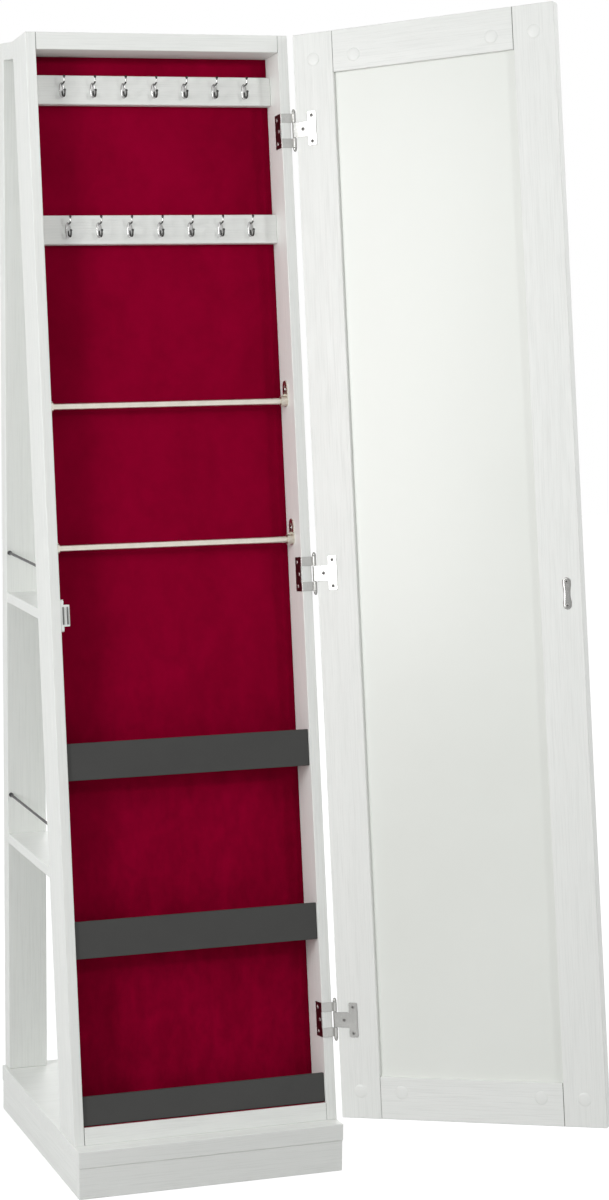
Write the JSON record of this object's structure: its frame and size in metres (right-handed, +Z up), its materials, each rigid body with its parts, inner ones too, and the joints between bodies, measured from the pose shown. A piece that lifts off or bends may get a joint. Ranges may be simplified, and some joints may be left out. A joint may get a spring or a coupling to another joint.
{
  "type": "jewelry cabinet",
  "caption": "Free-standing jewelry cabinet: a slim white box with a mirror door leans back on a plinth, with velvet lining, hooks, rods and trays inside and open shelves behind.",
  "frame": {"origin": "on the floor, below the middle of the plinth", "axes": "+X to the right seen from the front, -Y to the front, +Z up"},
  "size_m": [0.7088, 0.6685, 1.6773],
  "materials": {
    "white_lacquer": "satin white lacquer",
    "white_panel": "satin white board",
    "mirror": "silvered glass",
    "velvet": "crimson velvet",
    "grey_lip": "matte",
    "chrome": "polished",
    "satin_nickel": "satin",
    "black_metal": "satin black",
    "white_plastic": "matte",
    "fitting_metal": "zinc plated"
  },
  "bodies": {
    "cabinet": {"plinth_top": "white_lacquer", "plinth_front_skirt": "white_lacquer", "plinth_back_skirt": "white_lacquer", "plinth_left_skirt": "white_lacquer", "plinth_right_skirt": "white_lacquer", "left_post": "white_lacquer", "right_post": "white_lacquer", "rear_top_board": "white_lacquer", "upper_shelf": "white_lacquer", "lower_shelf": "white_lacquer", "cabinet_left_side": "white_lacquer", "cabinet_right_side": "white_lacquer", "cabinet_top": "white_lacquer", "cabinet_bottom": "white_lacquer", "cabinet_back": "white_lacquer", "upper_hook_rail": "white_lacquer", "lower_hook_rail": "white_lacquer", "upper_tray_shelf": "white_lacquer", "middle_tray_shelf": "white_lacquer", "velvet_back_lining": "velvet", "upper_tray_liner": "velvet", "middle_tray_liner": "velvet", "lower_tray_liner": "velvet", "upper_tray_lip": "grey_lip", "middle_tray_lip": "grey_lip", "lower_tray_lip": "grey_lip", "upper_hooks": "chrome", "lower_hooks": "chrome", "upper_hanging_rod": "satin_nickel", "lower_hanging_rod": "satin_nickel", "upper_left_rod_bracket": "satin_nickel", "upper_right_rod_bracket": "satin_nickel", "lower_left_rod_bracket": "satin_nickel", "lower_right_rod_bracket": "satin_nickel", "lower_hinge_cabinet_leaf": "satin_nickel", "middle_hinge_cabinet_leaf": "satin_nickel", "upper_hinge_cabinet_leaf": "satin_nickel", "hinge_pins": "satin_nickel", "cabinet_screws": "satin_nickel", "catch_pole_plates": "satin_nickel", "upper_left_guard_rod": "black_metal", "upper_right_guard_rod": "black_metal", "lower_left_guard_rod": "black_metal", "lower_right_guard_rod": "black_metal", "catch_body": "white_plastic"},
    "door": {"door_hinge_stile": "white_lacquer", "door_free_stile": "white_lacquer", "door_top_rail": "white_lacquer", "door_bottom_rail": "white_lacquer", "door_back_panel": "white_panel", "door_mirror": "mirror", "door_cap_plugs": "white_plastic", "door_corner_cams": "fitting_metal", "door_corner_bolts": "fitting_metal", "lower_hinge_door_leaf": "satin_nickel", "middle_hinge_door_leaf": "satin_nickel", "upper_hinge_door_leaf": "satin_nickel", "strike_plate": "satin_nickel", "door_screws": "satin_nickel"}
  },
  "joints": [
    {"name": "door_hinge", "type": "hinge", "parent": "cabinet", "child": "door", "pos_m": [0.2025, -0.07215, 0.85681], "axis": [0, 0.1478, 0.989], "range_deg": [-137.3, 0]}
  ]
}
